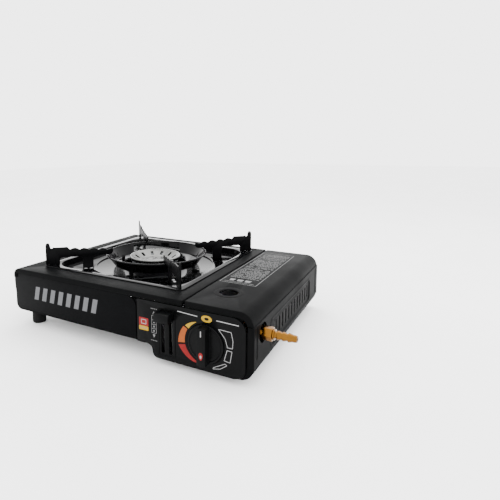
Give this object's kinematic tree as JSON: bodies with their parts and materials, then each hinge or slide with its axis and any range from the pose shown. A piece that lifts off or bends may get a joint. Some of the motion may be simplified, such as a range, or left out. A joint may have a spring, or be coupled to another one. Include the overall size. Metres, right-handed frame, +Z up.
{
  "type": "camping stove",
  "caption": "Portable gas camping stove: slotted burner in a square drip pan with scalloped pot supports, hinged cartridge lid, gas knob, lock lever and brass hose barb.",
  "frame": {"origin": "middle of the whole stove's footprint, knob and hose barb included, on the surface it stands on", "axes": "+X to the right, along the hose barb; +Y to the back; +Z up"},
  "size_m": [0.378, 0.273, 0.1092],
  "materials": {
    "painted_charcoal": "satin",
    "gloss_enamel": "gloss",
    "panel_black": "satin",
    "black_plastic": "matte",
    "burner_steel": "polished",
    "plated_steel": "satin",
    "cast_alloy": "cast",
    "heat_aluminium": "satin",
    "brass": "turned",
    "rubber": "matte",
    "insulator": "glazed ceramic",
    "igniter_plastic": "gloss",
    "lead_sleeve": "matte"
  },
  "bodies": {
    "base": {"base_tray": "painted_charcoal", "top_deck": "painted_charcoal", "front_panel": "panel_black", "control_fascia": "black_plastic", "side_panel": "painted_charcoal", "heat_shield": "heat_aluminium", "burner_body": "cast_alloy", "burner_cap": "burner_steel", "burner_bracket": "plated_steel", "mixing_tube": "heat_aluminium", "gas_jet": "brass", "regulator_body": "cast_alloy", "regulator_cover": "cast_alloy", "cartridge_socket": "brass", "socket_seal": "rubber", "inlet_pipe": "brass", "hose_nut": "brass", "hose_barb": "brass", "piezo_igniter": "igniter_plastic", "ignition_lead": "lead_sleeve", "electrode_insulator": "insulator", "electrode_tip": "plated_steel", "heat_strip": "heat_aluminium", "cartridge_cradle": "plated_steel", "lever_guide": "plated_steel", "hinge_brackets": "plated_steel", "hinge_pins": "plated_steel", "rubber_feet": "rubber", "foot_screws": "plated_steel"},
    "pan": {"drip_pan": "gloss_enamel", "support_front_left": "gloss_enamel", "support_front_right": "gloss_enamel", "support_back_left": "gloss_enamel", "support_back_right": "gloss_enamel", "wind_shield": "gloss_enamel", "support_rivets": "plated_steel"},
    "lid": {"cartridge_lid": "painted_charcoal"},
    "knob": {"control_knob": "black_plastic", "valve_spindle": "plated_steel"},
    "lever": {"lock_lever": "black_plastic", "lever_spring": "plated_steel"},
    "carriage": {"cartridge_carriage": "plated_steel"},
    "plunger": {"igniter_plunger": "igniter_plastic"}
  },
  "joints": [
    {"name": "pan_lift", "type": "slide", "parent": "base", "child": "pan", "axis": [0, 0, 1], "range_m": [0, 0.06]},
    {"name": "lid_hinge", "type": "hinge", "parent": "base", "child": "lid", "pos_m": [0.0773, 0, 0.0744], "axis": [0, -1, 0], "range_deg": [0, 88]},
    {"name": "knob_turn", "type": "hinge", "parent": "base", "child": "knob", "pos_m": [0.1015, -0.1245, 0.0374], "axis": [0, -1, 0], "range_deg": [0, 130]},
    {"name": "lever_slide", "type": "slide", "parent": "base", "child": "lever", "axis": [0, 0, -1], "range_m": [0, 0.032], "stiffness_N_per_m": 120, "springref_m": -0.005, "deforming": ["lever_spring"]},
    {"name": "carriage_slide", "type": "slide", "parent": "base", "child": "carriage", "axis": [0, -1, 0], "range_m": [0, 0.008]},
    {"name": "plunger_slide", "type": "slide", "parent": "base", "child": "plunger", "axis": [-1, 0, 0], "range_m": [0, 0.0025]}
  ],
  "couplings": [
    {"joint": "carriage_slide", "follows": "lever_slide", "ratio": 0.25},
    {"joint": "plunger_slide", "follows": "knob_turn", "m_per_rad": 0.0011}
  ]
}
